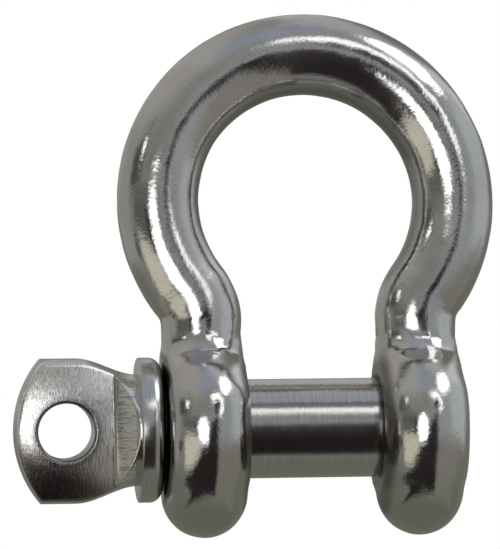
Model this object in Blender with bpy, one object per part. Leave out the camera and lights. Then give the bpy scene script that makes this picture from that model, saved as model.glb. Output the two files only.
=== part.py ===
"""A screw pin bow shackle of 10 mm bar, in metres, with +Z up.

The origin is on the pin's axis, midway between the two ears. +X runs along the pin to the tapped
ear, and +Z runs up to the crown of the bow. The shackle is two pieces: the forged bow, whose ends
swell into ears, and the screw pin, whose flattened head has a hole for a key or a seizing wire.
"""

import math

import bmesh
import bpy
import numpy as np
from mathutils import Matrix, Vector

# Bow: one round bar, bent to an omega.
BAR_DIAMETER = 0.0100
BOW_INSIDE_WIDTH = 0.0263
JAW_GAP = 0.0162
NECK_RADIUS = 0.0066  # of the bar's centreline, where each limb turns out into the bow
LIMB_STRAIGHT = 0.0012  # straight bar between an ear's fillet and the neck

# Ears: discs with a full round rim, milled flat inside and outside.
EAR_WALL = 0.0058  # from the pin's surface to the ear's side
EAR_DROP = 0.00135  # the ear's centre is this far below the pin's axis
EAR_FILLET = 0.0040  # where the bar widens into the ear
EAR_EXTRA_THICKNESS = 0.0001  # milled ear over the bar's diameter
MILLING_DEPTH = 0.0002

# Screw pin.
PIN_DIAMETER = 0.0120
TIP_OUT = 0.0005  # past the tapped ear's outer face
TIP_CHAMFER = 0.0009
COLLAR_LEDGE = 0.00275  # from the shank out to the collar's edge
COLLAR_THICKNESS = 0.0026
COLLAR_ROUND = 0.0010
NECK_OVER_PIN = 0.00145  # the narrowest place behind the collar, over the pin's diameter
HEAD_LENGTH = 0.0150  # from the collar to the end of the head
HEAD_EDGE_ROUND = 0.0009
END_DOME_HEIGHT = 0.0032
FLAT_THICKNESS = 0.0076  # between the head's two flats
FLAT_LENGTH = 0.0120  # from the end of the head to the ramps
RAMP_STOP = 0.0001  # the ramps' cut ends this far short of the collar
RAMP_ANGLE = math.radians(49)
HEAD_TURN = math.radians(6.5)  # how far the tightened pin leaves its flats off upright
EYE_DIAMETER = 0.0068
EYE_FROM_END = 0.00625
EYE_CHAMFER = 0.0005
EYE_RUN_OUT = 0.0002  # how far the eye's chamfer is cut on past the flat

# Clearances.
BORE_CLEARANCE = 0.0003  # round the pin, in both ears
SEAT_CLEARANCE = 0.0003  # between the collar and the ear

# Fineness of the facets.
BAR_SIDES = 32
PIN_SIDES = 40
BOW_STEP = math.radians(7.5)
EAR_STEP = math.radians(12)
NECK_STEPS = 5
FILLET_STEPS = 4
CURVE_STEPS = 8

# Worked out from the sizes above.
BAR_RADIUS = BAR_DIAMETER / 2
PIN_RADIUS = PIN_DIAMETER / 2
EAR_THICKNESS = BAR_DIAMETER + EAR_EXTRA_THICKNESS
EAR_RADIUS = PIN_RADIUS + EAR_WALL
FORGED_HALF = EAR_THICKNESS / 2 + MILLING_DEPTH
INNER_FACE = JAW_GAP / 2
OUTER_FACE = INNER_FACE + EAR_THICKNESS
LIMB_X = (INNER_FACE + OUTER_FACE) / 2
BOW_RADIUS = BOW_INSIDE_WIDTH / 2 + BAR_RADIUS
EAR_Z = -EAR_DROP
FILLET_Y = BAR_RADIUS + EAR_FILLET
FILLET_Z = EAR_Z + math.sqrt((EAR_RADIUS + EAR_FILLET) ** 2 - FILLET_Y**2)
NECK_X = LIMB_X + NECK_RADIUS
NECK_Z = FILLET_Z + LIMB_STRAIGHT
BOW_Z = NECK_Z + math.sqrt((BOW_RADIUS + NECK_RADIUS) ** 2 - NECK_X**2)
COLLAR_FACE_X = -(OUTER_FACE + SEAT_CLEARANCE)
COLLAR_BACK_X = COLLAR_FACE_X - COLLAR_THICKNESS
HEAD_END_X = COLLAR_BACK_X - HEAD_LENGTH
COLLAR_RADIUS = PIN_RADIUS + COLLAR_LEDGE
EYE_X = HEAD_END_X + EYE_FROM_END
FAR = OUTER_FACE + EAR_THICKNESS  # past every face that a cutter trims


def clear_scene():
    for obj in list(bpy.data.objects):
        bpy.data.objects.remove(obj, do_unlink=True)


def steel(name, roughness):
    """Stainless steel: a slightly warm grey metal."""
    material = bpy.data.materials.new(name)
    material.use_nodes = True
    shader = material.node_tree.nodes["Principled BSDF"]
    shader.inputs["Base Color"].default_value = (0.62, 0.61, 0.58, 1)
    shader.inputs["Metallic"].default_value = 1
    shader.inputs["Roughness"].default_value = roughness
    return material


def skin(name, rings):
    """One closed mesh over a row of rings of points. The first and last rings are single points."""
    bm = bmesh.new()
    rows = [[bm.verts.new(point) for point in ring] for ring in rings]
    for low, high in zip(rows, rows[1:]):
        count = max(len(low), len(high))
        for i in range(count):
            a, b = low[i % len(low)], low[(i + 1) % len(low)]
            c, d = high[(i + 1) % len(high)], high[i % len(high)]
            bm.faces.new(list(dict.fromkeys((a, b, c, d))))
    bmesh.ops.recalc_face_normals(bm, faces=bm.faces)
    mesh = bpy.data.meshes.new(name)
    bm.to_mesh(mesh)
    bm.free()
    return add_object(name, mesh)


def add_object(name, mesh):
    obj = bpy.data.objects.new(name, mesh)
    bpy.context.scene.collection.objects.link(obj)
    return obj


def cut(obj, cutter):
    """Takes the cutter's shape away from obj, and keeps the cutter as a hidden guide."""
    cutter.hide_render = True
    cutter.display_type = "WIRE"
    modifier = obj.modifiers.new(cutter.name, "BOOLEAN")
    modifier.operation = "DIFFERENCE"
    modifier.solver = "EXACT"
    modifier.object = cutter


def finish(obj, material):
    obj.data.materials.append(material)
    obj.data.shade_smooth()
    obj.data.set_sharp_from_angle(angle=math.radians(35))


def cylinder_cutter(name, radius, length, centre, axis):
    bm = bmesh.new()
    turn = Vector((0, 0, 1)).rotation_difference(Vector(axis)).to_matrix().to_4x4()
    bmesh.ops.create_cone(
        bm,
        cap_ends=True,
        segments=PIN_SIDES,
        radius1=radius,
        radius2=radius,
        depth=length,
        matrix=Matrix.Translation(centre) @ turn,
    )
    mesh = bpy.data.meshes.new(name)
    bm.to_mesh(mesh)
    bm.free()
    return add_object(name, mesh)


def box_cutter(name, low, high):
    bm = bmesh.new()
    size = Vector(high) - Vector(low)
    centre = (Vector(high) + Vector(low)) / 2
    bmesh.ops.create_cube(bm, size=1, matrix=Matrix.Translation(centre) @ Matrix.Diagonal((*size, 1)))
    mesh = bpy.data.meshes.new(name)
    bm.to_mesh(mesh)
    bm.free()
    return add_object(name, mesh)


def ease(share):
    """Runs from 0 to 1 with level ends."""
    share = min(max(share, 0.0), 1.0)
    return share * share * (3 - 2 * share)


# Bow


def forged_half(z):
    """Half the thickness of the ear or limb at its thickest, before milling."""
    share = (FILLET_Z - z) / EAR_FILLET
    return BAR_RADIUS + (FORGED_HALF - BAR_RADIUS) * ease(share)


def half_width(z):
    """Half the width along Y: the ear's circle, then the fillet's, up to the bar."""
    touch_z = EAR_Z + (FILLET_Z - EAR_Z) * EAR_RADIUS / (EAR_RADIUS + EAR_FILLET)
    if z <= touch_z:
        return math.sqrt(max(EAR_RADIUS**2 - (z - EAR_Z) ** 2, 0.0))
    return FILLET_Y - math.sqrt(max(EAR_FILLET**2 - (FILLET_Z - z) ** 2, 0.0))


def half_thickness(y, z):
    """Half the thickness along X at one place of the ear: a plate whose rim is a full round."""
    half = forged_half(z)
    beside_fillet = y * (FILLET_Z - EAR_Z) < FILLET_Y * (z - EAR_Z)
    if beside_fillet:
        past = EAR_FILLET + half - math.hypot(FILLET_Y - y, FILLET_Z - z)
    else:
        past = math.hypot(y, z - EAR_Z) - (EAR_RADIUS - half)
    return math.sqrt(max(half**2 - max(past, 0.0) ** 2, 0.0))


def ear_ring(z):
    """A level section of the right ear, its points evenly spaced round it from the outer side."""
    reach = half_width(z)
    ys = reach * np.sin(np.linspace(0, math.pi / 2, 12 * BAR_SIDES))
    xs = np.array([half_thickness(y, z) for y in ys])
    xs[-1] = 0
    run = np.concatenate([[0], np.cumsum(np.hypot(np.diff(xs), np.diff(ys)))])
    stops = np.linspace(0, run[-1], BAR_SIDES // 4 + 1)
    quarter_x, quarter_y = np.interp(stops, run, xs), np.interp(stops, run, ys)
    half_x = np.concatenate([quarter_x, -quarter_x[-2::-1]])
    half_y = np.concatenate([quarter_y, quarter_y[-2::-1]])
    ring_x = np.concatenate([half_x, half_x[-2:0:-1]])
    ring_y = np.concatenate([half_y, -half_y[-2:0:-1]])
    return np.column_stack([LIMB_X + ring_x, ring_y, np.full(len(ring_x), z)])


def bar_ring(centre_x, centre_z, outward):
    """A round section of the bar. outward is the angle in XZ that points away from the opening."""
    around = np.arange(BAR_SIDES) * 2 * math.pi / BAR_SIDES
    off = BAR_RADIUS * np.cos(around)
    return np.column_stack(
        [
            centre_x + off * math.cos(outward),
            BAR_RADIUS * np.sin(around),
            centre_z + off * math.sin(outward),
        ]
    )


def spread(start, stop, step):
    """Angles from start to stop, both included, about one step apart."""
    return np.linspace(start, stop, max(round((stop - start) / step), 1) + 1)


def right_half_rings():
    """From the foot of the right ear, up the limb and the neck, to just short of the crown."""
    touch = math.atan2(FILLET_Y, FILLET_Z - EAR_Z)
    lower, upper = spread(0, math.pi / 2, EAR_STEP), spread(math.pi / 2, math.pi - touch, EAR_STEP)
    rings = [np.array([[LIMB_X, 0, EAR_Z - EAR_RADIUS]])]
    for angle in np.concatenate([lower[1:], upper[1:]]):
        rings.append(ear_ring(EAR_Z - EAR_RADIUS * math.cos(angle)))
    for i in range(1, FILLET_STEPS + 1):
        angle = (math.pi / 2 - touch) * i / FILLET_STEPS
        rings.append(ear_ring(FILLET_Z - EAR_FILLET * math.cos(touch + angle)))
    turn = math.acos(NECK_X / (BOW_RADIUS + NECK_RADIUS))
    for i in range(NECK_STEPS):
        angle = turn * i / NECK_STEPS
        x = NECK_X - NECK_RADIUS * math.cos(angle)
        z = NECK_Z + NECK_RADIUS * math.sin(angle)
        rings.append(bar_ring(x, z, -angle))
    below, above = spread(-turn, 0, BOW_STEP), spread(0, math.pi / 2, BOW_STEP)
    for angle in np.concatenate([below[:-1], above[:-1]]):
        x, z = BOW_RADIUS * math.cos(angle), BOW_Z + BOW_RADIUS * math.sin(angle)
        rings.append(bar_ring(x, z, angle))
    return rings


def bow():
    right = right_half_rings()
    crown = bar_ring(0, BOW_Z + BOW_RADIUS, math.pi / 2)
    left = [ring * (-1, 1, 1) for ring in reversed(right)]
    body = skin("bow", right + [crown] + left)

    low, high = -2 * EAR_RADIUS, FILLET_Z
    for side, start, stop in (
        ("jaw", -INNER_FACE, INNER_FACE),
        ("tapped_ear_face", OUTER_FACE, FAR),
        ("plain_ear_face", -FAR, -OUTER_FACE),
    ):
        cutter = box_cutter(f"{side}_cutter", (start, -2 * EAR_RADIUS, low), (stop, 2 * EAR_RADIUS, high))
        cut(body, cutter)
    bore_radius = PIN_RADIUS + BORE_CLEARANCE
    cut(body, cylinder_cutter("pin_bore_cutter", bore_radius, 2 * FAR, (0, 0, 0), (1, 0, 0)))
    finish(body, steel("polished_steel", 0.2))
    return body


# Screw pin


def arc(centre, radius, start, stop, count):
    """Points (x, r) on an arc, ends included."""
    angles = np.linspace(start, stop, count + 1)
    return [(centre[0] + radius * math.cos(a), centre[1] + radius * math.sin(a)) for a in angles]


def pin_outline():
    """The turned outline as (x, r), from the threaded tip to the end of the head."""
    tip_x = OUTER_FACE + TIP_OUT
    outline = [
        (tip_x, PIN_RADIUS - TIP_CHAMFER),
        (tip_x - TIP_CHAMFER, PIN_RADIUS),
        (COLLAR_FACE_X, PIN_RADIUS),
    ]
    collar_centre = (COLLAR_FACE_X - COLLAR_ROUND, COLLAR_RADIUS - COLLAR_ROUND)
    outline += arc(collar_centre, COLLAR_ROUND, 0, math.pi / 2, CURVE_STEPS // 2)
    outline.append((COLLAR_BACK_X, COLLAR_RADIUS))

    neck_radius = PIN_RADIUS + NECK_OVER_PIN / 2
    dome_radius = (END_DOME_HEIGHT**2 + COLLAR_RADIUS**2) / (2 * END_DOME_HEIGHT)
    dome_centre = HEAD_END_X + dome_radius
    edge_r = COLLAR_RADIUS - HEAD_EDGE_ROUND
    edge_x = dome_centre - math.sqrt((dome_radius - HEAD_EDGE_ROUND) ** 2 - edge_r**2)
    swell_length = HEAD_LENGTH / 2
    for i in range(CURVE_STEPS + 1):
        share = i / CURVE_STEPS
        x = COLLAR_BACK_X - swell_length * share
        outline.append((x, neck_radius + (COLLAR_RADIUS - neck_radius) * ease(share)))
    dome_angle = math.atan2(edge_r, edge_x - dome_centre)
    outline += arc((edge_x, edge_r), HEAD_EDGE_ROUND, math.pi / 2, dome_angle, CURVE_STEPS // 2)
    dome = arc((dome_centre, 0), dome_radius, dome_angle, math.pi, CURVE_STEPS)
    return outline + dome[1:-1]


def flat_cutter(side):
    """The block that a head's flat and its ramp leave: side is 1 for +Y and -1 for -Y."""
    flat_y = FLAT_THICKNESS / 2
    flat_end_x = HEAD_END_X + FLAT_LENGTH
    stop_x = COLLAR_BACK_X - RAMP_STOP
    deep = 2 * COLLAR_RADIUS
    section = (
        (HEAD_END_X - deep, flat_y),
        (flat_end_x, flat_y),
        (stop_x, flat_y + (stop_x - flat_end_x) * math.tan(RAMP_ANGLE)),
        (stop_x, deep),
        (HEAD_END_X - deep, deep),
    )
    bm = bmesh.new()
    floor = bm.faces.new([bm.verts.new((x, side * y, -deep)) for x, y in section])
    raised = bmesh.ops.extrude_face_region(bm, geom=[floor])
    tops = [item for item in raised["geom"] if isinstance(item, bmesh.types.BMVert)]
    bmesh.ops.translate(bm, verts=tops, vec=(0, 0, 2 * deep))
    bmesh.ops.recalc_face_normals(bm, faces=bm.faces)
    mesh = bpy.data.meshes.new("flat_cutter")
    bm.to_mesh(mesh)
    bm.free()
    return add_object(f"{'front' if side < 0 else 'back'}_flat_cutter", mesh)


def eye_cutter():
    """A cylinder along Y that opens out at 45 degrees where it leaves each flat."""
    radius = EYE_DIAMETER / 2
    straight_y = FLAT_THICKNESS / 2 - EYE_CHAMFER
    mouth_y = FLAT_THICKNESS / 2 + EYE_RUN_OUT
    past_y = FLAT_THICKNESS
    mouth_radius = radius + mouth_y - straight_y
    section = (
        (-past_y, mouth_radius),
        (-mouth_y, mouth_radius),
        (-straight_y, radius),
        (straight_y, radius),
        (mouth_y, mouth_radius),
        (past_y, mouth_radius),
    )
    around = np.arange(PIN_SIDES) * 2 * math.pi / PIN_SIDES
    rings = [np.array([[EYE_X, -past_y, 0]])]
    for y, r in section:
        ring_x = EYE_X + r * np.cos(around)
        ring_z = r * np.sin(around)
        rings.append(np.column_stack([ring_x, np.full(PIN_SIDES, y), ring_z]))
    rings.append(np.array([[EYE_X, past_y, 0]]))
    return skin("eye_cutter", rings)


def screw_pin():
    around = np.arange(PIN_SIDES) * 2 * math.pi / PIN_SIDES
    outline = pin_outline()
    rings = [np.array([[outline[0][0], 0, 0]])]
    for x, r in outline:
        rings.append(np.column_stack([np.full(PIN_SIDES, x), r * np.cos(around), r * np.sin(around)]))
    rings.append(np.array([[HEAD_END_X, 0, 0]]))
    pin = skin("screw_pin", rings)
    turn = Matrix.Rotation(HEAD_TURN, 4, "X")
    for cutter in (flat_cutter(-1), flat_cutter(1), eye_cutter()):
        cutter.data.transform(turn)
        cut(pin, cutter)
    finish(pin, steel("turned_steel", 0.25))
    return pin


clear_scene()
shackle_bow = bow()
shackle_pin = screw_pin()
shackle_pin.parent = shackle_bow
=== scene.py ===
# %% [markdown]
# # A screw pin bow shackle
#
# A shackle is two pieces of stainless steel. The bow is one round bar, bent to an omega, and each of its
# ends is forged out into an ear. The screw pin crosses the jaw between the ears: its thread turns into the
# tapped ear, its collar seats on the plain ear, and its flattened head has an eye for a key or a seizing
# wire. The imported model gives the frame. Both pieces are modelled here again with fine, smooth surfaces,
# because polished steel shows every facet in its reflections.

# %% Load the frame
import math

import bmesh
import bpy
from mathutils import Matrix, Vector


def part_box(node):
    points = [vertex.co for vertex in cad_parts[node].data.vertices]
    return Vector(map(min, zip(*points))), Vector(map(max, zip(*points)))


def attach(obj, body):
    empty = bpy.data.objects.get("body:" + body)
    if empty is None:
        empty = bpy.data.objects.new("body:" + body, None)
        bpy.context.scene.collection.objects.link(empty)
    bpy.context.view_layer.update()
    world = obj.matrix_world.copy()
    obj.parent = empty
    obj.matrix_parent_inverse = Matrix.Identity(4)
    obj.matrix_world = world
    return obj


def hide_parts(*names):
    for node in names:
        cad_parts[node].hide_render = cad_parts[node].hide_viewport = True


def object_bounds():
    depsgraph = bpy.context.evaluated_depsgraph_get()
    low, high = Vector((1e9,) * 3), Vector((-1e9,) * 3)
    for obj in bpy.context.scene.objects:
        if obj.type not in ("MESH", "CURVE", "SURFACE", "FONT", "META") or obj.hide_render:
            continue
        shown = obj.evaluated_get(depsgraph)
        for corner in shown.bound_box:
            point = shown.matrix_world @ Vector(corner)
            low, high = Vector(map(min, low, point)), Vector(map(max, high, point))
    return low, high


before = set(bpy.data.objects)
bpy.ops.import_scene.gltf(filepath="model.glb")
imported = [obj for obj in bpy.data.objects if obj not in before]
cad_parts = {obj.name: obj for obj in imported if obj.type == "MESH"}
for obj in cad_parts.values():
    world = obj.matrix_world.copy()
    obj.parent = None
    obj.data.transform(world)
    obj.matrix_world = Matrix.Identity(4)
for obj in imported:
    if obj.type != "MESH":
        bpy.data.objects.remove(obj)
cad_low, cad_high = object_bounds()
bow_low, bow_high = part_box("bow")
pin_low, pin_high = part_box("screw_pin")
print("bow", bow_low, bow_high)
print("screw pin", pin_low, pin_high)

# %% [markdown]
# The frame's origin is on the pin's axis, midway between the ears. X runs along the pin to the tapped ear,
# and Z runs up to the crown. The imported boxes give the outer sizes. What a box can't tell, such as how
# thick the bar is, is named here once, in metres, and everything else is worked out from these values.

# %% Sizes
MM = 0.001
BAR = 5.0 * MM  # radius of the round bar
JAW = 8.1 * MM  # from the middle to each ear's inner face
EAR_THICKNESS = 10.1 * MM
MILLING = 0.2 * MM  # taken off each side of a forged ear
PIN = 6.0 * MM  # radius of the shank
EAR_DROP = 1.35 * MM  # the ear's centre lies below the pin's axis
EAR_FILLET = 4.0 * MM
BOW_INSIDE = 13.15 * MM  # radius of the bow's opening
NECK_BEND = 6.6 * MM  # radius of the bar's centreline in the neck
LIMB_STRAIGHT = 1.2 * MM

ear_z = -EAR_DROP
ear_radius = ear_z - bow_low.z
limb_x = JAW + EAR_THICKNESS / 2
outer_x = JAW + EAR_THICKNESS
forged = EAR_THICKNESS / 2 + MILLING
fillet_y = BAR + EAR_FILLET
fillet_z = ear_z + math.sqrt((ear_radius + EAR_FILLET) ** 2 - fillet_y**2)
neck_x = limb_x + NECK_BEND
neck_z = fillet_z + LIMB_STRAIGHT
bow_radius = BOW_INSIDE + BAR
bow_z = neck_z + math.sqrt((bow_radius + NECK_BEND) ** 2 - neck_x**2)
neck_turn = math.acos(neck_x / (bow_radius + NECK_BEND))
print(f"ear radius {ear_radius / MM:.2f} mm, bow centre {bow_z / MM:.2f} mm up")
print(f"crown {(bow_z + bow_radius + BAR) / MM:.2f} mm up, packed {bow_high.z / MM:.2f} mm")
print(f"the neck turns {math.degrees(neck_turn):.1f} degrees, from {neck_z / MM:.2f} mm up")

# %% [markdown]
# ## Helpers for modelling
#
# An operator in edit mode acts on whatever is selected. So each step here first selects what it is about,
# by where it lies, and then calls the operator, as a hand would pick a loop and press a key.


# %% Selecting and editing
def only(obj):
    """Makes obj the one selected and active object."""
    if bpy.context.object and bpy.context.object.mode != "OBJECT":
        bpy.ops.object.mode_set(mode="OBJECT")
    bpy.ops.object.select_all(action="DESELECT")
    obj.select_set(True)
    bpy.context.view_layer.objects.active = obj


def edit(obj):
    only(obj)
    bpy.ops.object.mode_set(mode="EDIT")
    bpy.ops.mesh.select_mode(type="VERT")


def pick(obj, test):
    """Selects the points whose place passes the test, and returns how many."""
    mesh = bmesh.from_edit_mesh(obj.data)
    count = 0
    for vert in mesh.verts:
        vert.select = test(vert.co)
        count += vert.select
    mesh.select_flush_mode()
    bmesh.update_edit_mesh(obj.data, loop_triangles=False, destructive=False)
    return count


def apply_modifier(obj, kind, **settings):
    only(obj)
    modifier = obj.modifiers.new(kind.lower(), kind)
    for name, value in settings.items():
        setattr(modifier, name, value)
    bpy.ops.object.modifier_apply(modifier=modifier.name)


def combine(obj, other, operation):
    """Cuts, joins or keeps what is shared, and removes the other shape."""
    apply_modifier(obj, "BOOLEAN", object=other, operation=operation, solver="EXACT")
    bpy.data.objects.remove(other)


def tidy_shell(obj):
    """Closes seams and poles, and turns every face outwards."""
    edit(obj)
    bpy.ops.mesh.select_all(action="SELECT")
    bpy.ops.mesh.remove_doubles(threshold=1e-6)
    bpy.ops.mesh.normals_make_consistent(inside=False)
    bpy.ops.object.mode_set(mode="OBJECT")


def report(obj):
    size = obj.dimensions / MM
    print(f"{obj.name}: {len(obj.data.polygons)} faces, {size.x:.2f} x {size.y:.2f} x {size.z:.2f} mm")


# %% [markdown]
# ## The bow
#
# The real bow is a straight bar bent hot over formers. Spinning does the same: one circle is swept round
# the bow's centre and then the other way round the neck's centre. Only the right half is made, because the
# left is its mirror.

# %% Sweep the bar from the crown to the limb
BAR_SIDES = 96
HALF_SIDE = math.pi / BAR_SIDES


def start_bar():
    bpy.ops.mesh.primitive_circle_add(
        vertices=BAR_SIDES,
        radius=BAR,
        location=(0, 0, bow_z + bow_radius),
        rotation=(0, math.pi / 2, 0),
    )
    obj = bpy.context.object
    obj.name = "bow_steel"
    bpy.ops.object.transform_apply(location=True, rotation=True, scale=True)
    edit(obj)
    bpy.ops.mesh.select_all(action="SELECT")
    bpy.ops.transform.rotate(
        value=HALF_SIDE, orient_axis="X", center_override=(0, 0, bow_z + bow_radius)
    )
    return obj


only(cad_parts["bow"])
bow = start_bar()
bow_sweep = neck_turn + math.pi / 2
bpy.ops.mesh.spin(steps=80, angle=-bow_sweep, center=(0, 0, bow_z), axis=(0, 1, 0))
bpy.ops.mesh.spin(steps=28, angle=neck_turn, center=(neck_x, 0, neck_z), axis=(0, 1, 0))
bpy.ops.mesh.extrude_region_move(TRANSFORM_OT_translate={"value": (0, 0, fillet_z - neck_z)})
end = [v.co.copy() for v in bmesh.from_edit_mesh(bow.data).verts if v.select]
end_x = sum(v.x for v in end) / len(end)
print(f"the limb ends at x {end_x / MM:.3f}, z {end[0].z / MM:.3f} mm")
print(f"it should be at x {limb_x / MM:.3f}, z {fillet_z / MM:.3f} mm")

# %% [markdown]
# The ear grows out of the bar. Each level section of it is a stadium: two half ellipses with a straight
# stretch between. So the bar's end loop is extruded down step by step. At each step its front and back
# halves are scaled to the section's thickness and then moved apart. Below the fillet, the ear is a disc
# whose rim is a full round.


# %% Forge the ear
FILLET_LEVELS = 12
EAR_LEVELS = 46
touch_angle = math.atan2(fillet_y, fillet_z - ear_z)  # from upright, where the fillet meets the disc


def ease(share):
    share = min(max(share, 0.0), 1.0)
    return share * share * (3 - 2 * share)


def section(z):
    """Half thickness along X, and along Y the length of an end and of half the straight stretch."""
    half = BAR + (forged - BAR) * ease((fillet_z - z) / EAR_FILLET)
    core, up, down = ear_radius - half, z - ear_z, fillet_z - z
    if up < ear_radius * math.cos(touch_angle):
        reach = math.sqrt(ear_radius**2 - up**2)
    else:
        reach = fillet_y - math.sqrt(max(EAR_FILLET**2 - down**2, 0))
    if up < core * math.cos(touch_angle):
        straight = math.sqrt(max(core**2 - up**2, 0))
        past = max(-up - core, 0)
    else:
        hollow = EAR_FILLET + half
        straight = max(fillet_y - math.sqrt(hollow**2 - down**2), 0)
        past = max(hollow - math.hypot(fillet_y, down), 0)
    return math.sqrt(half**2 - past**2), reach - straight, straight


def nose_lift(z):
    """How far a level is raised, so that the ear juts out furthest level with the pin."""
    share = (z - bow_low.z) / (fillet_z - bow_low.z)
    return 1.4 * MM * math.sin(math.pi * share) ** 2


def ear_levels():
    """Heights from the fillet's top to just above the foot, closer together where the surface turns."""
    for i in range(1, FILLET_LEVELS + 1):
        share = i / FILLET_LEVELS
        yield fillet_z - EAR_FILLET * math.cos(math.pi / 2 - (math.pi / 2 - touch_angle) * share)
    for i in range(1, EAR_LEVELS):
        yield ear_z + ear_radius * math.cos(touch_angle + (math.pi - touch_angle) * i / EAR_LEVELS)


def reshape_end(obj, z, before, after):
    """Scales the loop's two halves to the new section and moves them to its straight stretch's ends."""
    for side in (-1, 1):
        pick(obj, lambda co: co.y * side > 0 and abs(co.z - z) < 1e-7)
        bpy.ops.transform.resize(
            value=(after[0] / before[0], after[1] / before[1], 1),
            center_override=(limb_x, side * before[2], z),
        )
        bpy.ops.transform.translate(value=(0, side * (after[2] - before[2]), 0))
    pick(obj, lambda co: abs(co.z - z) < 1e-7)


level, shape = fillet_z, (BAR, BAR, 0.0)
for z in ear_levels():
    new_level, new_shape = z + nose_lift(z), section(z)
    bpy.ops.mesh.extrude_region_move(TRANSFORM_OT_translate={"value": (0, 0, new_level - level)})
    reshape_end(bow, new_level, shape, new_shape)
    level, shape = new_level, new_shape
bpy.ops.mesh.extrude_region_move(TRANSFORM_OT_translate={"value": (0, 0, bow_low.z - level)})
bpy.ops.mesh.merge(type="CENTER")
bpy.ops.object.mode_set(mode="OBJECT")
apply_modifier(bow, "MIRROR", use_mirror_merge=True, merge_threshold=1e-6)
tidy_shell(bow)
report(bow)

# %% [markdown]
# Forging and grinding never leave a perfect bar. Two Displace modifiers press it in a little, by a cloudy
# texture: a faint unevenness all over, and a coarser one in the saddle above each ear, where the hammer
# drew the metal out. Both only press inwards, so the bow stays inside its packed size.


# %% Leave the marks of the forge
def dent(obj, name, depth, size, weight=None):
    clouds = bpy.data.textures.new(name, "CLOUDS")
    clouds.noise_scale = size
    clouds.noise_depth = 1
    group = ""
    if weight:
        group = obj.vertex_groups.new(name=name).name
        for vert in obj.data.vertices:
            obj.vertex_groups[group].add([vert.index], weight(vert.co), "REPLACE")
    apply_modifier(
        obj, "DISPLACE", texture=clouds, texture_coords="LOCAL",
        strength=depth, mid_level=1.0, vertex_group=group,
    )


SADDLE_FOOT = 7.0 * MM
SADDLE_TOP = 14.5 * MM


def saddle(co):
    """1 in the saddle above an ear, fading out towards the bar and the ear."""
    return ease((co.z - SADDLE_FOOT) / (2 * MM)) * ease((SADDLE_TOP - co.z) / (3 * MM))


dent(bow, "forge", depth=0.09 * MM, size=3.5 * MM)
dent(bow, "hammer", depth=0.26 * MM, size=1.6 * MM, weight=saddle)
print(f"the hammer's marks lie from {SADDLE_FOOT / MM:.1f} to {SADDLE_TOP / MM:.1f} mm up")

# %% [markdown]
# A mill then cleans both sides of each ear. The forged ear stands a little proud of the finished faces, so
# the points past each face are pressed flat onto it. That leaves the soft edge that polishing gives, where
# a cut would leave a sharp one.


# %% Mill the ears
def press_flat(obj, test, x):
    """Moves the chosen points onto the plane at x."""
    found = pick(obj, test)
    bpy.ops.transform.resize(value=(0, 1, 1), center_override=(x, 0, 0))
    return found


edit(bow)
for side in (-1, 1):
    for face_x, proud in ((JAW, -1), (outer_x, 1)):
        count = press_flat(
            bow,
            lambda co: co.z < fillet_z and co.x * side > 0 and (abs(co.x) - face_x) * proud > 0,
            side * face_x,
        )
        print(f"face at {side * face_x / MM:.1f} mm: {count} points")
bpy.ops.object.mode_set(mode="OBJECT")

# %% [markdown]
# ## Turned shapes
#
# The pin, the drill that makes the bores and the chamfers are all turned. A single point is extruded along
# the outline, and the outline is spun round the X axis. A spin keeps evenly spaced points all round, so the
# reflections on the shank stay straight.

# %% Turn an outline
TURNED_SIDES = 128


def draw(name, points):
    """Extrudes the first point along the others, and leaves the new object in edit mode."""
    bpy.ops.object.select_all(action="DESELECT")
    bpy.ops.mesh.primitive_plane_add(size=MM, location=points[0])
    obj = bpy.context.object
    obj.name = name
    bpy.ops.object.transform_apply(location=True, rotation=True, scale=True)
    edit(obj)
    bpy.ops.mesh.select_all(action="SELECT")
    bpy.ops.mesh.merge(type="CENTER")
    for here, there in zip(points, points[1:]):
        way = [b - a for a, b in zip(here, there)]
        bpy.ops.mesh.extrude_region_move(TRANSFORM_OT_translate={"value": way})
    bpy.ops.mesh.select_all(action="SELECT")
    return obj


def turned(name, outline):
    """Spins an outline of (x, radius) round the X axis. It starts and ends on the axis."""
    obj = draw(name, [(x, 0, r) for x, r in outline])
    bpy.ops.mesh.spin(
        steps=TURNED_SIDES, angle=2 * math.pi, center=(0, 0, 0), axis=(1, 0, 0), use_auto_merge=True
    )
    bpy.ops.object.mode_set(mode="OBJECT")
    tidy_shell(obj)
    return obj


def arc(centre, radius, start, stop, count):
    """Points on an arc, ends included, with angles in degrees."""
    step = math.radians(stop - start) / count
    return [
        (centre[0] + radius * math.cos(math.radians(start) + step * i),
         centre[1] + radius * math.sin(math.radians(start) + step * i))
        for i in range(count + 1)
    ]


# %% [markdown]
# ## Threads
#
# The thread is M12 with a pitch of 1.75 mm. One tooth's outline goes once round while it moves one pitch
# along, which is what the Screw modifier does. Both ends of the coil are then cut off square, and that
# closes it. The same rod, a little fatter, serves as the tap, so the two threads mesh.

# %% Cut a thread
PITCH = 1.75 * MM
THREAD_CREST = 5.95 * MM
THREAD_ROOT = 4.95 * MM
CREST_FLAT = PITCH / 8
ROOT_FLAT = PITCH / 4
THREAD_FROM = JAW + 0.9 * MM


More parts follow.
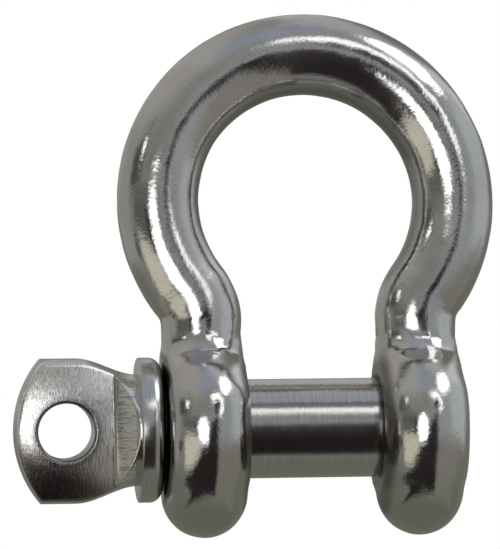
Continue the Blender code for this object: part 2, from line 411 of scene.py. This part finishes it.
def thread_rod(name, start_x, stop_x, fatter=0.0):
    """A threaded rod. Its turns are counted from THREAD_FROM, so that two rods line up."""
    first = THREAD_FROM - 3 * PITCH
    tooth = (
        (0, THREAD_CREST),
        (CREST_FLAT / 2, THREAD_CREST),
        ((PITCH - ROOT_FLAT) / 2, THREAD_ROOT),
        ((PITCH + ROOT_FLAT) / 2, THREAD_ROOT),
        (PITCH - CREST_FLAT / 2, THREAD_CREST),
        (PITCH, THREAD_CREST),
    )
    rod = draw(name, [(first + x, 0, r + fatter) for x, r in tooth])
    bpy.ops.object.mode_set(mode="OBJECT")
    turns = math.ceil((stop_x - first) / PITCH) + 2
    apply_modifier(
        rod, "SCREW", axis="X", angle=2 * math.pi, screw_offset=PITCH, iterations=turns,
        steps=64, render_steps=64, use_merge_vertices=True, merge_threshold=1e-6,
    )
    edit(rod)
    for x, keep in ((start_x, -1), (stop_x, 1)):
        bpy.ops.mesh.select_all(action="SELECT")
        bpy.ops.mesh.bisect(plane_co=(x, 0, 0), plane_no=(keep, 0, 0), use_fill=True, clear_outer=True)
    bpy.ops.object.mode_set(mode="OBJECT")
    tidy_shell(rod)
    return rod


# %% [markdown]
# Two tools now pass through the ears. The drill is turned, with a small chamfer wherever it meets a face.
# In the plain ear it leaves a running fit round the shank. In the tapped ear it opens only the first turn,
# and the tap does the rest.

# %% Drill and tap the ears
RUNNING_FIT = 0.15 * MM
BORE_CHAMFER = 0.4 * MM
LEAD_IN = 0.3 * MM  # the shank and the counterbore go this far past the start of the thread
THREAD_PLAY = 0.1 * MM
PAST = 2 * MM  # how far a tool goes on beyond a face

bore = PIN + RUNNING_FIT
drill = turned("drill", [
    (-outer_x - PAST, 0),
    (-outer_x - PAST, bore + BORE_CHAMFER + PAST),
    (-outer_x + BORE_CHAMFER, bore),
    (-JAW - BORE_CHAMFER, bore),
    (-JAW + PAST, bore + BORE_CHAMFER + PAST),
    (-JAW + PAST, 0),
])
combine(bow, drill, "DIFFERENCE")
counterbore = turned("counterbore", [
    (JAW - PAST, 0),
    (JAW - PAST, bore + BORE_CHAMFER + PAST),
    (JAW + BORE_CHAMFER, bore),
    (THREAD_FROM + LEAD_IN, bore),
    (THREAD_FROM + LEAD_IN + bore - THREAD_ROOT, THREAD_ROOT),
    (outer_x + BORE_CHAMFER - bore + THREAD_ROOT, THREAD_ROOT),
    (outer_x + PAST, bore - BORE_CHAMFER + PAST),
    (outer_x + PAST, 0),
])
tap = thread_rod("tap", JAW + LEAD_IN, outer_x + PAST / 2, fatter=THREAD_PLAY)
combine(counterbore, tap, "UNION")
combine(bow, counterbore, "DIFFERENCE")
only(bow)
bpy.ops.object.shade_smooth_by_angle(angle=math.radians(14))
report(bow)

# %% [markdown]
# ## The screw pin
#
# The pin starts in the lathe: shank, collar, neck and a head like a flattened ball. The collar's side that
# meets the ear is rounded and its back is left crisp.

# %% Turn the shank and collar
COLLAR = pin_high.z  # radius
COLLAR_BACK = pin_low.x + 15.0 * MM
COLLAR_ROUND = 1.5 * MM
SEAT = 0.12 * MM  # between the collar and the ear
NECK = PIN + 0.72 * MM
BACK_EDGE = 0.15 * MM  # the small round on the collar's crisp back
CORE_END = THREAD_FROM + 1.6 * MM  # the shank ends inside the threaded part
THREAD_START = THREAD_FROM + 0.7 * MM
SHANK_STEPS = 12
tip_x = pin_high.x
seat_x = -outer_x - SEAT

shank_outline = [(CORE_END, 0), (CORE_END, THREAD_ROOT - 0.2 * MM)]
shank_outline += [(THREAD_FROM + LEAD_IN, PIN - 0.1 * MM), (THREAD_FROM + 0.1 * MM, PIN)]
shank_outline += [
    (THREAD_FROM + (seat_x - THREAD_FROM) * i / SHANK_STEPS, PIN) for i in range(1, SHANK_STEPS + 1)
]
shank_outline += arc((seat_x - COLLAR_ROUND, COLLAR - COLLAR_ROUND), COLLAR_ROUND, 0, 90, 10)
shank_outline += arc((COLLAR_BACK + BACK_EDGE, COLLAR - BACK_EDGE), BACK_EDGE, 90, 180, 4)
shank_outline += [(COLLAR_BACK, NECK - 1 * MM), (COLLAR_BACK, 0)]
pin = turned("screw_pin_steel", shank_outline)
report(pin)

TIP_CHAMFER = 1.1 * MM
thread = thread_rod("thread", THREAD_START, tip_x)
envelope = turned("thread_envelope", [
    (THREAD_FROM - PAST, 0),
    (THREAD_FROM - PAST, PIN + PAST),
    (tip_x - TIP_CHAMFER, PIN),
    (tip_x, PIN - TIP_CHAMFER),
    (tip_x, 0),
])
combine(thread, envelope, "INTERSECT")
combine(pin, thread, "UNION")
report(pin)

# %% [markdown]
# The head is turned as well, like a flattened ball on a neck. Afterwards it is ground to a flat tongue with
# a ramp at its root, bevelled at the end and drilled through.

# %% Turn the head
HEAD_HALF = 3.8 * MM  # half the thickness between the flats
FLAT_END = pin_low.x + 12.0 * MM
RAMP = math.tan(math.radians(49))
EYE = 3.4 * MM
EYE_X = pin_low.x + 6.25 * MM
DOME_HEIGHT = 3.2 * MM
HEAD_STEPS = 24
dome = (DOME_HEIGHT**2 + COLLAR**2) / (2 * DOME_HEIGHT)
swell = (COLLAR_BACK - pin_low.x) / 2

head_outline = [(COLLAR_BACK + 1 * MM, 0), (COLLAR_BACK + 1 * MM, NECK), (COLLAR_BACK, NECK)]
head_outline += [
    (COLLAR_BACK - swell * i / HEAD_STEPS, NECK + (COLLAR - NECK) * ease(i / HEAD_STEPS))
    for i in range(1, HEAD_STEPS + 1)
]
rim_angle = math.degrees(math.asin(COLLAR / dome))
head_outline += arc((pin_low.x + dome, 0), dome, 180 - rim_angle, 180, HEAD_STEPS)
head = turned("head", head_outline)
report(head)

# %% [markdown]
# The wheel that grinds the flats leaves them slightly crowned, up and down and also along the pin. So the
# block that cuts each flat is swept: its outline, which holds the flat and the ramp, moves up along Z and
# follows the crown.

# %% Grind the flats
CROWN_RADIUS = 57 * MM
CROWN_STEPS = 16
CROWN_REACH = 1.2 * COLLAR  # how far the block reaches above and below the axis
FLAT_STEPS = 6  # from the eye to the ramp
END_STEPS = 9  # from the eye past the head's end, each as long


def crown_drop(off_middle):
    """How far a crowned flat has fallen away at this distance from its middle."""
    return off_middle**2 / (2 * CROWN_RADIUS)


def tongue_cutter(side):
    """The block that one flat and its ramp leave."""
    deep = 3 * COLLAR
    stop_x = COLLAR_BACK - 0.1 * MM
    reach = FLAT_END - EYE_X
    along = [reach * i / FLAT_STEPS for i in range(-END_STEPS, FLAT_STEPS + 1)]
    outline = [(EYE_X + off, HEAD_HALF - crown_drop(off)) for off in along]
    outline += [
        (stop_x, outline[-1][1] + (stop_x - FLAT_END) * RAMP),
        (stop_x, deep),
        (outline[0][0], deep),
    ]
    levels = [CROWN_REACH * (2 * i / CROWN_STEPS - 1) for i in range(CROWN_STEPS + 1)]
    foot = levels[0]
    block = draw("tongue_cutter", [(x, side * (y - crown_drop(foot)), foot) for x, y in outline])
    bpy.ops.mesh.edge_face_add()
    for z0, z1 in zip(levels, levels[1:]):
        lift = side * (crown_drop(z0) - crown_drop(z1))
        bpy.ops.mesh.extrude_region_move(TRANSFORM_OT_translate={"value": (0, lift, z1 - z0)})
    bpy.ops.object.mode_set(mode="OBJECT")
    tidy_shell(block)
    return block


for side in (-1, 1):
    combine(head, tongue_cutter(side), "DIFFERENCE")
report(head)

# %% [markdown]
# The head's end is bevelled all along its arc. The bevel is a cone round the arc's own centre, so the head
# is kept inside a barrel that is turned round an axis across it. The eye is drilled with a small
# countersink on each side.

# %% Bevel the end and drill the eye
END_BEVEL = 0.6 * MM
BEVEL_RUN = 0.8  # how far the bevel runs in from the flat, as a share of its height
COUNTERSINK = 0.35 * MM
OVER = 0.3 * MM  # the barrel's cone goes on this far past the dome


def both_ways(half):
    """An outline and its mirror image, which ends where the outline starts, on the axis."""
    return half + [(-place, r) for place, r in reversed(half)]


def turned_across(name, outline, x):
    """Like turned, but round the axis along Y that passes through x."""
    obj = turned(name, outline)
    obj.rotation_euler = (0, 0, math.pi / 2)
    obj.location = (x, 0, 0)
    bpy.ops.object.transform_apply(location=True, rotation=True, scale=True)
    return obj


far = 2 * COLLAR
half_barrel = [
    (-far, 0),
    (-far, dome - END_BEVEL),
    (-HEAD_HALF, dome - END_BEVEL),
    (OVER - HEAD_HALF + END_BEVEL * BEVEL_RUN, dome + OVER),
]
barrel = turned_across("barrel", both_ways(half_barrel), pin_low.x + dome)
combine(head, barrel, "INTERSECT")
half_drill = [
    (-far, 0),
    (-far, EYE + COUNTERSINK + far - HEAD_HALF),
    (COUNTERSINK - HEAD_HALF, EYE),
]
eye_drill = turned_across("eye_drill", both_ways(half_drill), EYE_X)
combine(head, eye_drill, "DIFFERENCE")
report(head)

# %% [markdown]
# Where tools leave sharp edges, tumbling rounds them. A voxel remesh and a few rounds of smoothing do the
# same to the model. A screw pin tightens wherever its thread stops it, so its flats seldom end up upright.
# So the finished head is turned a little before it joins the shank.

# %% Tumble the head, turn it and join it
VOXEL = 0.13 * MM
HEAD_TURN = math.radians(6.5)  # how far the tightened pin leaves its flats off upright

apply_modifier(head, "REMESH", mode="VOXEL", voxel_size=VOXEL, adaptivity=0)
edit(head)
pick(head, lambda co: co.x < COLLAR_BACK)
bpy.ops.mesh.vertices_smooth(factor=0.5, repeat=6)
bpy.ops.mesh.select_all(action="SELECT")
bpy.ops.transform.rotate(value=-HEAD_TURN, orient_axis="X", center_override=(0, 0, 0))
bpy.ops.object.mode_set(mode="OBJECT")
report(head)
combine(pin, head, "UNION")
tidy_shell(pin)
only(pin)
bpy.ops.object.shade_smooth_by_angle(angle=math.radians(35))
report(pin)

# %% [markdown]
# ## Shader maths
#
# A material is easier to read as a formula than as a list of links. The class below wraps one output
# socket, and each sum or product of such values adds the Math node that works it out. The graph's one
# method adds any other node: its settings come first, and then a value or a link for each of its inputs.


# %% Shader values and graphs
class Value:
    """A number, colour or vector that a shader works out."""

    def __init__(self, graph, socket):
        self.graph = graph
        self.socket = socket

    def math(self, operation, *others):
        return self.graph.node("ShaderNodeMath", {"operation": operation}, dict(enumerate((self, *others))))

    def flipped(self, operation, other):
        return self.graph.node("ShaderNodeMath", {"operation": operation}, {0: other, 1: self})

    def __add__(self, other):
        return self.math("ADD", other)

    def __radd__(self, other):
        return self.flipped("ADD", other)

    def __sub__(self, other):
        return self.math("SUBTRACT", other)

    def __rsub__(self, other):
        return self.flipped("SUBTRACT", other)

    def __mul__(self, other):
        return self.math("MULTIPLY", other)

    def __rmul__(self, other):
        return self.flipped("MULTIPLY", other)

    def __truediv__(self, other):
        return self.math("DIVIDE", other)

    def __rtruediv__(self, other):
        return self.flipped("DIVIDE", other)

    def __pow__(self, other):
        return self.math("POWER", other)

    def __neg__(self):
        return self.math("MULTIPLY", -1)

    def __or__(self, other):
        """The larger of two masks."""
        return self.math("MAXIMUM", other)

    def step(self, low, high):
        """0 below low, 1 above high and smooth between. With low above high it falls."""
        return self.graph.node(
            "ShaderNodeMapRange",
            {"interpolation_type": "SMOOTHSTEP"},
            {"Value": self, "From Min": min(low, high), "From Max": max(low, high),
             "To Min": float(low > high), "To Max": float(high > low)},
        )

    def band(self, low, high, soft):
        """1 between low and high, with soft edges that wide."""
        return self.step(low - soft / 2, low + soft / 2) * self.step(high + soft / 2, high - soft / 2)

    def mix(self, first, second):
        """The first colour where this is 0, and the second where it is 1."""
        return self.graph.node(
            "ShaderNodeMix",
            {"data_type": "RGBA"},
            {"Factor": self, "A": first, "B": second},
            output="Result",
        )


class Graph:
    """The nodes of one material or world."""

    def __init__(self, tree):
        self.tree = tree
        tree.nodes.clear()

    def node(self, kind, settings=None, inputs=None, output=0):
        made = self.tree.nodes.new(kind)
        for name, value in (settings or {}).items():
            setattr(made, name, value)
        for key, value in (inputs or {}).items():
            sockets = [i for i in made.inputs if i.enabled and i.name == key]
            socket = sockets[0] if sockets else made.inputs[key]
            if isinstance(value, Value):
                self.tree.links.new(value.socket, socket)
            else:
                socket.default_value = value
        outputs = [o for o in made.outputs if o.enabled]
        if not outputs:
            return made
        named = {o.name: o for o in outputs}
        return Value(self, named[output] if output in named else outputs[output])


def grey(value, warmth=0.0):
    """A neutral colour, with a little more red and less blue where it is warm."""
    return (value * (1 + warmth), value, value * (1 - warmth), 1)


# %% [markdown]
# ## The steel
#
# Stainless steel is a metal with a slightly warm grey of its own. What makes it look real is how unevenly
# it was polished: gentle ripples from the wheel bend each reflection, a fine grain breaks up its edges, and
# the roughness wanders. Textures read Object coordinates, in metres, so a texture's scale is given per
# millimetre of steel.

# %% Helpers for steel
PER_MM = 1 / MM


def noise(graph, place, scale, detail=2.0, squash=None):
    if squash:
        place = graph.node("ShaderNodeMapping", {}, {"Vector": place, "Scale": squash})
    return graph.node(
        "ShaderNodeTexNoise", {}, {"Vector": place, "Scale": scale, "Detail": detail, "Roughness": 0.5}
    )


def bumped(graph, height, distance, below=None):
    """The normal after a height in metres, given as distance times a value from 0 to 1."""
    inputs = {"Height": height, "Distance": distance, "Strength": 1.0}
    if below:
        inputs["Normal"] = below
    return graph.node("ShaderNodeBump", {}, inputs)


def finish_steel(graph, colour, roughness, normal):
    shader = graph.node(
        "ShaderNodeBsdfPrincipled",
        {},
        {"Base Color": colour, "Roughness": roughness, "Normal": normal, "Metallic": 1.0},
    )
    graph.node("ShaderNodeOutputMaterial", {}, {"Surface": shader})


def new_material(name):
    material = bpy.data.materials.new(name)
    material.use_nodes = True
    return material, Graph(material.node_tree)


def coordinates(graph):
    """Object coordinates, whole and as three values."""
    place = graph.node("ShaderNodeTexCoord", output="Object")
    parts = graph.node("ShaderNodeSeparateXYZ", {}, {"Vector": place})
    return [place] + [Value(graph, socket) for socket in parts.socket.node.outputs]


def distance(first, second):
    return (first * first + second * second).math("SQRT")


def wear(slot, obj, material):
    """Gives a piece its material, and says so."""
    obj.data.materials.clear()
    obj.data.materials.append(material)
    print(f"{obj.name} wears {slot}: {len(material.node_tree.nodes)} shader nodes")


# %% [markdown]
# The bow's bar was tumbled and buffed, so its marks go every way. Painted shade darkens the inner side of
# the bow, the milled faces in the jaw, which are also rougher, and the ear's outer face round the collar.
# The ears' undersides are darker too, from painted shade.

# %% Polished steel for the bow
polished, graph = new_material("polished_steel")
place, x, y, z = coordinates(graph)
ripple = noise(graph, place, 0.33 * PER_MM, detail=1.0)
grain = noise(graph, place, 2.6 * PER_MM, detail=3.0)
blotch = noise(graph, place, 0.15 * PER_MM, detail=3.0)
pits = noise(graph, place, 7.0 * PER_MM, detail=1.0).step(0.58, 0.72)
normal = bumped(graph, ripple, 0.04 * MM)
normal = bumped(graph, grain, 0.018 * MM, below=normal)

# Painted shade on the inner side of the bow.
painted_inner_shade = distance(x, z - bow_z).step(BOW_INSIDE + 1.15 * MM, BOW_INSIDE + 0.15 * MM)
# Painted shade, darker towards the ears' undersides.
painted_underside_shade = z.step(-1 * MM, -11 * MM)
# The jaw's milled faces: rougher, and made dark by painted shade.
shaded_rough_jaw = x.math("ABSOLUTE").step(JAW + 1.3 * MM, JAW + 0.3 * MM) * z.step(10 * MM, 7 * MM)
under_collar = distance(y, z).step(COLLAR + 0.85 * MM, COLLAR + 0.05 * MM)
# Painted shade on the ear's outer face round the collar.
painted_collar_shade = (-x).step(outer_x - 0.9 * MM, outer_x - 0.3 * MM) * under_collar

colour = blotch.step(0.3, 0.7).mix(grey(0.58, 0.02), grey(0.67, 0.015))
colour = (painted_underside_shade * 0.8).mix(colour, (0.53, 0.55, 0.50, 1))
colour = (pits * 0.4).mix(colour, grey(0.22, 0.03))
colour = (painted_inner_shade * 0.75).mix(colour, grey(0.22, 0.05))
colour = ((shaded_rough_jaw | painted_collar_shade) * 0.85).mix(colour, grey(0.12, 0.12))
finish_steel(graph, colour, 0.09 + 0.10 * blotch.step(0.35, 0.75) + 0.2 * shaded_rough_jaw, normal)
wear("polished_steel", bow, polished)

# %% [markdown]
# The pin was turned, so fine rings run round it. Its flats were ground after that: the strokes run up and
# down, and the wheel's edge has cut short lines into the ramp. Painted highlights brighten the flats and
# the ramp. Painted shade makes the lower end of each flat dark brown, rings the eye and darkens the
# collar's round face next to the ear.
# The shank's front has two dark lines and a brown band along it. They stand for what it reflects from close
# by, which the studio leaves out. The bulge tilts the flat's shading a little further than its crown does.

# %% Turned steel for the pin
turned_steel, graph = new_material("turned_steel")
place, x, y, z = coordinates(graph)
ripple = noise(graph, place, 0.4 * PER_MM, detail=1.0)
turning = noise(graph, place, PER_MM, detail=4.0, squash=(7.0, 0.35, 0.35))
speckle = noise(graph, place, 3.0 * PER_MM, detail=2.0)
strokes = noise(graph, place, PER_MM, detail=3.0, squash=(9.0, 0.5, 1.1))
cuts = noise(graph, place, PER_MM, detail=2.0, squash=(0.4, 0.4, 6.0))

off_eye = x - EYE_X
up_flat = z - y * math.tan(HEAD_TURN)
from_middle = (y + z * math.tan(HEAD_TURN)).math("ABSOLUTE")
on_flat = x.step(FLAT_END + 0.1 * MM, FLAT_END - 0.1 * MM) * from_middle.band(2.9 * MM, 4.9 * MM, 0.2 * MM)
on_ramp = x.band(FLAT_END + 0.2 * MM, COLLAR_BACK - 0.6 * MM, 0.2 * MM)
on_ramp = on_ramp * from_middle.step(3.6 * MM, 4.0 * MM)
# Painted shade in a ring round the eye.
painted_eye_shade = distance(off_eye, up_flat).step(EYE + 1.2 * MM, EYE + 0.2 * MM)
# Painted shade, dark brown towards the lower end of each flat.
painted_low_end_shade = (up_flat + 0.45 * off_eye + 2.5 * MM * (strokes - 0.5)).step(-2.5 * MM, -6.0 * MM)
bulge = off_eye * off_eye * (1 / (80 * MM * MM)) + up_flat * up_flat * (1 / (120 * MM * MM))

normal = bumped(graph, ripple, 0.03 * MM)
normal = bumped(graph, turning, 0.006 * MM, below=normal)
normal = bumped(graph, speckle, 0.008 * MM, below=normal)
normal = bumped(graph, -(bulge * on_flat), MM, below=normal)
normal = bumped(graph, strokes * on_flat, 0.03 * MM, below=normal)
normal = bumped(graph, cuts * on_ramp, 0.03 * MM, below=normal)

front_of_shank = x.band(seat_x, THREAD_FROM, 1.2 * MM) * y.step(0.5 * MM, -0.5 * MM)
wavering = z + 0.8 * MM * (turning - 0.5)
lines = wavering.band(2.0 * MM, 2.7 * MM, 0.5 * MM) | wavering.band(4.6 * MM, 5.0 * MM, 0.3 * MM)
brown_band = wavering.band(-3.4 * MM, -0.2 * MM, 0.8 * MM)
# Painted shade on the collar's round face next to the ear.
painted_gap_shade = x.step(seat_x - 0.6 * MM, seat_x - 0.1 * MM) * x.step(-JAW, -outer_x + 1 * MM)

colour = turning.step(0.3, 0.7).mix(grey(0.56, 0.02), grey(0.66, 0.015))
# Painted highlight: the flats are made brighter than the turned steel.
colour = (on_flat * 0.8).mix(colour, grey(0.88, 0.02))
colour = (strokes.step(0.50, 0.70) * on_flat * 0.5).mix(colour, grey(0.22, 0.04))
# Painted highlight, bright cream, on the ramp.
colour = (on_ramp * 0.9).mix(colour, (0.88, 0.87, 0.80, 1))
colour = (cuts.step(0.54, 0.64) * on_ramp * 0.6).mix(colour, grey(0.25, 0.04))
colour = (painted_low_end_shade * on_flat * 0.85).mix(colour, (0.12, 0.10, 0.09, 1))
colour = (lines * front_of_shank * 0.65).mix(colour, grey(0.12, 0.08))
colour = (brown_band * front_of_shank * 0.6).mix(colour, (0.20, 0.155, 0.13, 1))
colour = (painted_eye_shade * on_flat * 0.8).mix(colour, grey(0.14, 0.06))
colour = (painted_gap_shade * 0.9).mix(colour, grey(0.06, 0.05))
finish_steel(graph, colour, 0.15 + 0.10 * turning + 0.03 * on_flat, normal)
wear("turned_steel", pin, turned_steel)

# %% [markdown]
# Each piece now rides its imported body and stands in for it.

# %% Tie the pieces to their bodies
for piece, body, slot in ((bow, "bow", "polished_steel"), (pin, "screw_pin", "turned_steel")):
    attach(piece, body)
    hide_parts(body)

# %% [markdown]
# ## The studio
#
# Polished steel shows nothing but what surrounds it. The world is that studio: it answers a ray by its
# direction. Rays from the camera and soft light see plain white, and reflections see a room. The room is
# drawn on a flat chart: the middle is the way to the front, and a point's distance from the middle is its
# angle away from there, in degrees. Right is +X and up is +Z. Each wall, lamp or dark thing is a shape on
# the chart, and a later one covers those before it. A little noise makes their edges waver, as hand
# polishing does.


# %% Chart the room
WAVER = 12  # degrees

world = bpy.data.worlds.new("studio")
bpy.context.scene.world = world
world.use_nodes = True
graph = Graph(world.node_tree)
direction = graph.node("ShaderNodeTexCoord")
parts = graph.node("ShaderNodeSeparateXYZ", {}, {"Vector": direction})
x, y, z = (Value(graph, socket) for socket in parts.socket.node.outputs)
angle = (-y).math("ARCCOSINE") * (180 / math.pi)
flat = (x * x + z * z).math("SQRT").math("MAXIMUM", 1e-4)
across = angle * x / flat + WAVER * (noise(graph, direction, 2.2, detail=3.0) - 0.5)
up = angle * z / flat + WAVER * (noise(graph, direction, 3.1, detail=3.0) - 0.5)


def patch(left, right, low, high, soft):
    """A rectangle on the chart."""
    return across.band(left, right, soft) * up.band(low, high, soft)


def disc(middle_across, middle_up, radius, soft):
    """A round patch on the chart."""
    return distance(across - middle_across, up - middle_up).step(radius + soft / 2, radius - soft / 2)


diagonal = across + up
below_camera = (up - 0.75 * across).step(4, -6) * across.step(26, 15) * up.step(-76, -62)
walls = (
    ("upper left wall", patch(-150, -10, 42, 150, 40), (0.42, 0.41, 0.385)),
    ("far left wall", patch(-150, -88, -30, 150, 24), (0.36, 0.355, 0.33)),
    ("right wall", patch(4, 60, -90, 100, 30), (0.35, 0.37, 0.385)),
    ("ceiling", patch(2, 50, 74, 150, 24), (0.50, 0.51, 0.51)),
    ("far right wall", patch(58, 116, -14, 80, 24), (0.51, 0.54, 0.56)),
    ("foot of the right wall", patch(14, 95, -95, -14, 24), (0.265, 0.255, 0.225)),
    ("ground", up.step(-64, -86), (0.19, 0.195, 0.16)),
    ("strip of sky", patch(-26, 18, 50, 84, 24), (0.33, 0.37, 0.44)),
    ("lit edge of the ceiling", patch(50, 104, 60, 80, 14), (0.70, 0.72, 0.72)),
)
things = (
    ("shade on the left", patch(-76, -26, -10, 12, 14), (0.13, 0.13, 0.12)),
    ("cream card", patch(-74, -30, -40, -6, 9), (0.72, 0.69, 0.56)),
    ("frame round the small lamp", patch(-84, -52, 16, 38, 10), (0.085, 0.085, 0.08)),
    ("small lamp", disc(-60, 30, 5, 5), (1.9, 1.9, 1.85)),
    ("knob", disc(-87, -15, 6, 5), (0.06, 0.06, 0.055)),
    ("stand of the front lamp", patch(-44, -30, -10, 2, 5), (0.03, 0.03, 0.03)),
    ("camera and table", below_camera, (0.028, 0.022, 0.023)),
    ("ring lamp", disc(18, 26, 19, 5) * diagonal.step(34, 44), (1.7, 1.7, 1.7)),
    ("middle of the ring lamp", disc(20, 24, 9, 7), (0.05, 0.045, 0.042)),
    ("front lamp", disc(-19, -3, 13, 6), (2.6, 2.6, 2.65)),
    ("big lamp", disc(46, 60, 17, 8), (2.3, 2.3, 2.35)),
)
room = angle.step(60, 125).mix((0.27, 0.28, 0.26, 1), (0.20, 0.20, 0.17, 1))
for name, shape, colour in walls + things:
    room = shape.mix(room, (*colour, 1))
print(f"the room has {len(walls)} walls and {len(things)} things in it")

# %% [markdown]
# The answer depends on the ray. A reflection gets the room, soft light is white from all round, and the
# camera sees plain white behind the shackle.

# %% Answer each kind of ray
rays = graph.node("ShaderNodeLightPath")
ray = {socket.name: Value(graph, socket) for socket in rays.socket.node.outputs}
reflected = graph.node("ShaderNodeBackground", {}, {"Color": room, "Strength": 1.0})
soft_light = graph.node("ShaderNodeBackground", {}, {"Color": grey(1.0), "Strength": 1.25})
seen = graph.node("ShaderNodeBackground", {}, {"Color": grey(1.0), "Strength": 1.0})
lighting = graph.node(
    "ShaderNodeMixShader", {}, {0: ray["Is Glossy Ray"], 1: soft_light, 2: reflected}
)
answer = graph.node("ShaderNodeMixShader", {}, {0: ray["Is Camera Ray"], 1: lighting, 2: seen})
graph.node("ShaderNodeOutputWorld", {}, {"Surface": answer})

# %% [markdown]
# A shackle doesn't stand on its ears. It hangs here as it does on a line, and the pale floor lies below it,
# under the camera.

# %% Lay the floor
FLOOR_DROP = 50 * MM

bpy.ops.object.select_all(action="DESELECT")
bpy.ops.mesh.primitive_plane_add(size=2.0, location=(0, 0, cad_low.z - FLOOR_DROP))
floor = bpy.context.object
floor.name = "floor"
bpy.ops.object.transform_apply(location=True, rotation=True, scale=True)
white, graph = new_material("floor_white")
shader = graph.node("ShaderNodeBsdfPrincipled", {}, {"Base Color": grey(0.96), "Roughness": 0.9})
graph.node("ShaderNodeOutputMaterial", {}, {"Surface": shader})
floor.data.materials.append(white)
floor.visible_glossy = False

# %% [markdown]
# ## The camera
#
# The camera stands to the left of the shackle and a little below it, and looks slightly up and to the
# right. It is far enough away, seven times the shackle's height, for the two ears to look the same size.

# %% Set the camera
CAMERA_AIM = Vector((-7.02, 0, 18.8)) * MM
CAMERA_DISTANCE = 450 * MM
CAMERA_TURN = math.radians(-6.73)
CAMERA_RISE = math.radians(-6.66)
CAMERA_ROLL = math.radians(1.25)
SENSOR_HEIGHT = 24.0
LENS = 161.7

forward = Vector((
    -math.sin(CAMERA_TURN) * math.cos(CAMERA_RISE),
    math.cos(CAMERA_TURN) * math.cos(CAMERA_RISE),
    -math.sin(CAMERA_RISE),
))
right = Vector((math.cos(CAMERA_TURN), math.sin(CAMERA_TURN), 0))
upward = right.cross(forward)
roll_cos, roll_sin = math.cos(CAMERA_ROLL), math.sin(CAMERA_ROLL)
camera_x = right * roll_cos - upward * roll_sin
camera_y = right * roll_sin + upward * roll_cos
camera_data = bpy.data.cameras.new("camera")
camera_data.sensor_fit = "VERTICAL"
camera_data.sensor_height = SENSOR_HEIGHT
camera_data.lens = LENS
camera_data.clip_start = 0.005
camera = bpy.data.objects.new("camera", camera_data)
bpy.context.scene.collection.objects.link(camera)
turn = Matrix((camera_x, camera_y, -forward)).transposed().to_4x4()
camera.matrix_world = Matrix.Translation(CAMERA_AIM - forward * CAMERA_DISTANCE) @ turn
bpy.context.scene.camera = camera
bpy.context.scene.view_settings.view_transform = "Standard"
print("camera at", [round(c / MM, 1) for c in camera.location])

# %% Finish
bpy.context.view_layer.update()
